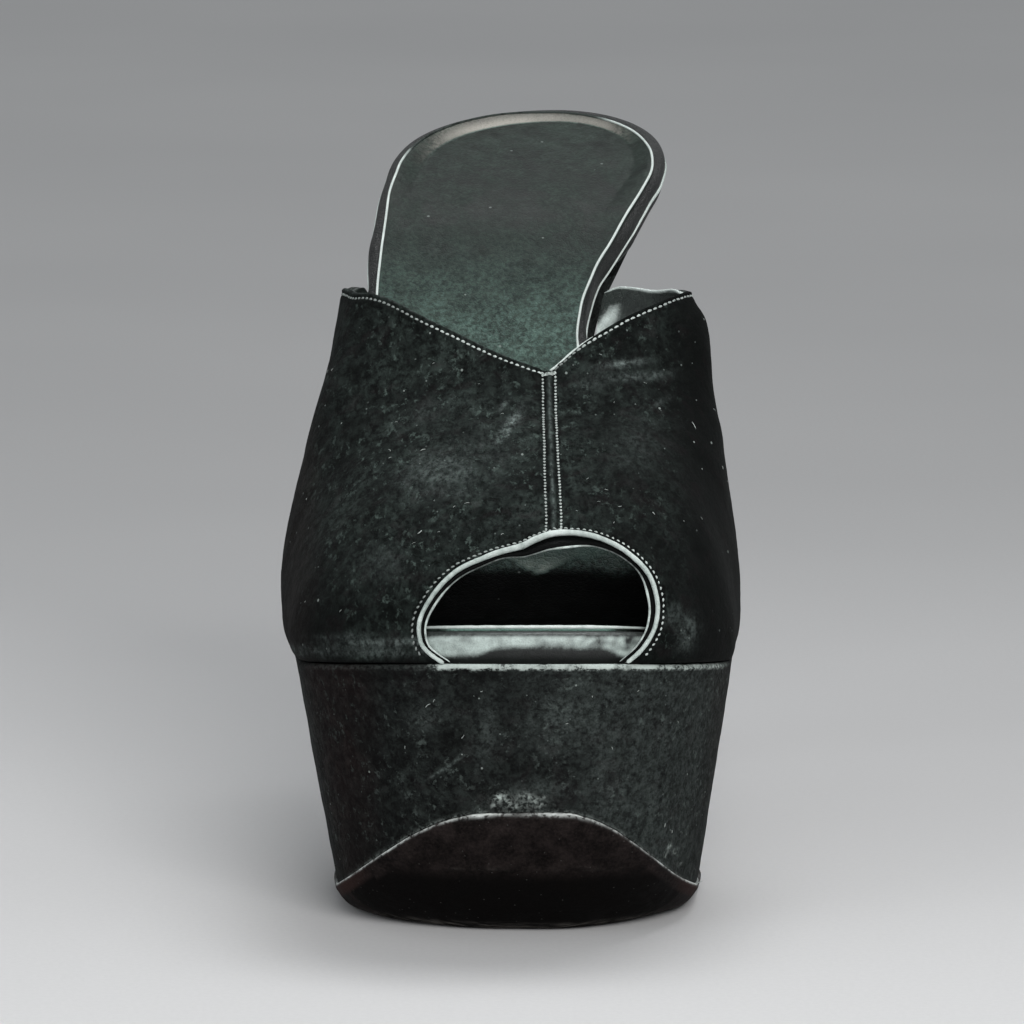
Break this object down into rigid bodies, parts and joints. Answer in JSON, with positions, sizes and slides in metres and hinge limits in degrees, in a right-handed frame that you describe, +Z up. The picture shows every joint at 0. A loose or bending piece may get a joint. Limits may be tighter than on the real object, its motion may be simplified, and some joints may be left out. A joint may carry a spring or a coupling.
{
  "type": "peep-toe platform clog",
  "caption": "Open-backed high-heeled mule for the right foot: suede vamp with a peep toe, centre seam and V throat on a thick covered platform, leather footbed, slim covered heel",
  "frame": {"origin": "middle of the footprint's bounding box, on the floor", "axes": "+X to the inner (big toe) side, +Y from toe to heel, +Z up"},
  "size_m": [0.0948, 0.2046, 0.147],
  "materials": {
    "sole_leather": "worn black-brown leather sole",
    "platform_suede": "black suede, rubbed pale along the edges",
    "footbed_leather": "black smooth leather with a fine grain, half matt",
    "upper_suede": "black suede nap",
    "heel_cover": "black suede cover",
    "lift_rubber": "matt black rubber",
    "lining_leather": "smooth grey-green lining and rolled edge binding",
    "thread": "pale top-stitching thread"
  },
  "bodies": {
    "root": {"outsole": "sole_leather", "platform": "platform_suede", "insole": "footbed_leather", "upper": "upper_suede", "heel": "heel_cover", "top_lift": "lift_rubber"}
  },
  "joints": []
}
